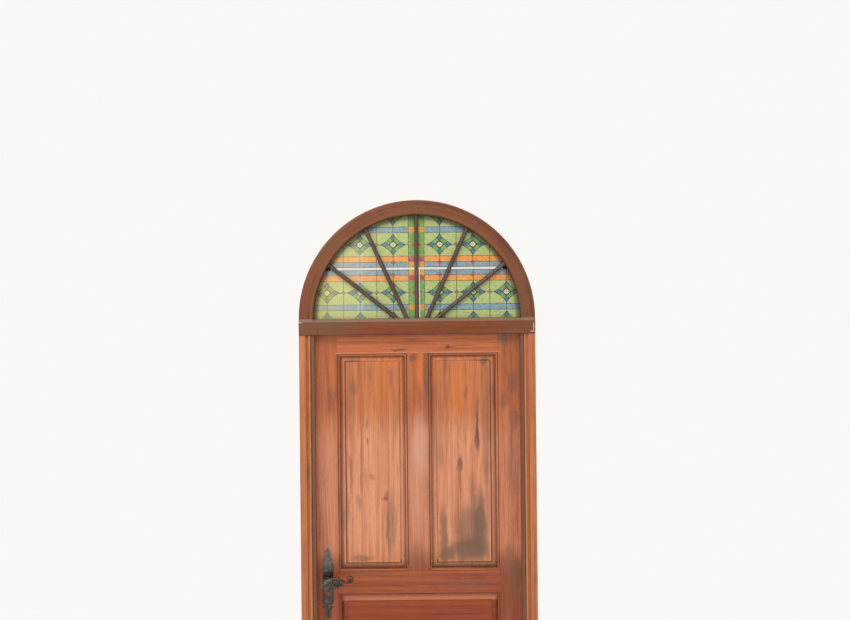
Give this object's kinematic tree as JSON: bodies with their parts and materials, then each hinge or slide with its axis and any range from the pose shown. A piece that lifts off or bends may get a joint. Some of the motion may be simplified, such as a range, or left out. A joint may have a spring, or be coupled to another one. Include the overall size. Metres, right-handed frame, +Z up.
{
  "type": "arched wooden door with frame",
  "caption": "Panelled wooden door hung in a frame with a semicircular glazed and barred fanlight, with lever handles on both faces.",
  "frame": {"origin": "on the floor, below the middle of the leaf's width and of its thickness", "axes": "+Z up, +X to the right seen from the room side, which faces -Y; the leaf opens towards +Y"},
  "size_m": [0.924, 0.152, 2.5499],
  "materials": {
    "frame_wood": "dark brown varnish",
    "leaf_wood": "red-brown varnish",
    "bar_wood": "dark stain",
    "glass": "clear",
    "film_ground": "translucent",
    "film_line": "print",
    "film_blue": "print",
    "film_light_blue": "print",
    "film_orange": "print",
    "film_green": "print",
    "film_crimson": "print",
    "film_cream": "print",
    "iron": "aged black",
    "steel": "plain"
  },
  "bodies": {
    "frame": {"jamb_left": "frame_wood", "jamb_right": "frame_wood", "transom_rail": "frame_wood", "arch_head": "frame_wood", "arch_tenons": "frame_wood", "bar_left_low": "bar_wood", "bar_left_steep": "bar_wood", "bar_centre": "bar_wood", "bar_right_steep": "bar_wood", "bar_right_low": "bar_wood", "fanlight_glass": "glass", "film_sheets": "film_ground", "film_stars": "film_line", "film_lines": "film_line", "film_blue": "film_blue", "film_light_blue": "film_light_blue", "film_orange": "film_orange", "film_green": "film_green", "film_crimson": "film_crimson", "film_cream": "film_cream", "glazing_bead_arch": "frame_wood", "glazing_bead_sill": "frame_wood", "strike_plate": "steel", "hinge_frame_bottom": "steel", "hinge_frame_middle": "steel", "hinge_frame_top": "steel"},
    "leaf": {"stile_lock": "leaf_wood", "stile_hinge": "leaf_wood", "top_rail": "leaf_wood", "lock_rail": "leaf_wood", "bottom_rail": "leaf_wood", "mullion": "leaf_wood", "panel_upper_left": "leaf_wood", "panel_upper_right": "leaf_wood", "panel_lower": "leaf_wood", "hinge_leaf_bottom": "steel", "hinge_leaf_middle": "steel", "hinge_leaf_top": "steel", "latch_case": "steel", "latch_cover": "steel", "forend": "steel", "backplate_front": "iron", "backplate_back": "iron"},
    "handle": {"lever_front": "iron", "lever_back": "iron", "spindle": "steel", "follower": "steel"},
    "latch": {"latch_bolt": "steel"}
  },
  "joints": [
    {"name": "door_swing", "type": "hinge", "parent": "frame", "child": "leaf", "pos_m": [0.414, 0.029, 0], "axis": [0, 0, -1], "range_deg": [0, 105]},
    {"name": "lever_turn", "type": "hinge", "parent": "leaf", "child": "handle", "pos_m": [-0.3625, 0, 1.068], "axis": [0, 1, 0], "range_deg": [0, 38], "stiffness_Nm_per_rad": 1.5, "springref_deg": -28.65},
    {"name": "latch_draw", "type": "slide", "parent": "leaf", "child": "latch", "axis": [1, 0, 0], "range_m": [0, 0.0095]}
  ],
  "couplings": [
    {"joint": "latch_draw", "follows": "lever_turn", "m_per_rad": 0.0142}
  ]
}
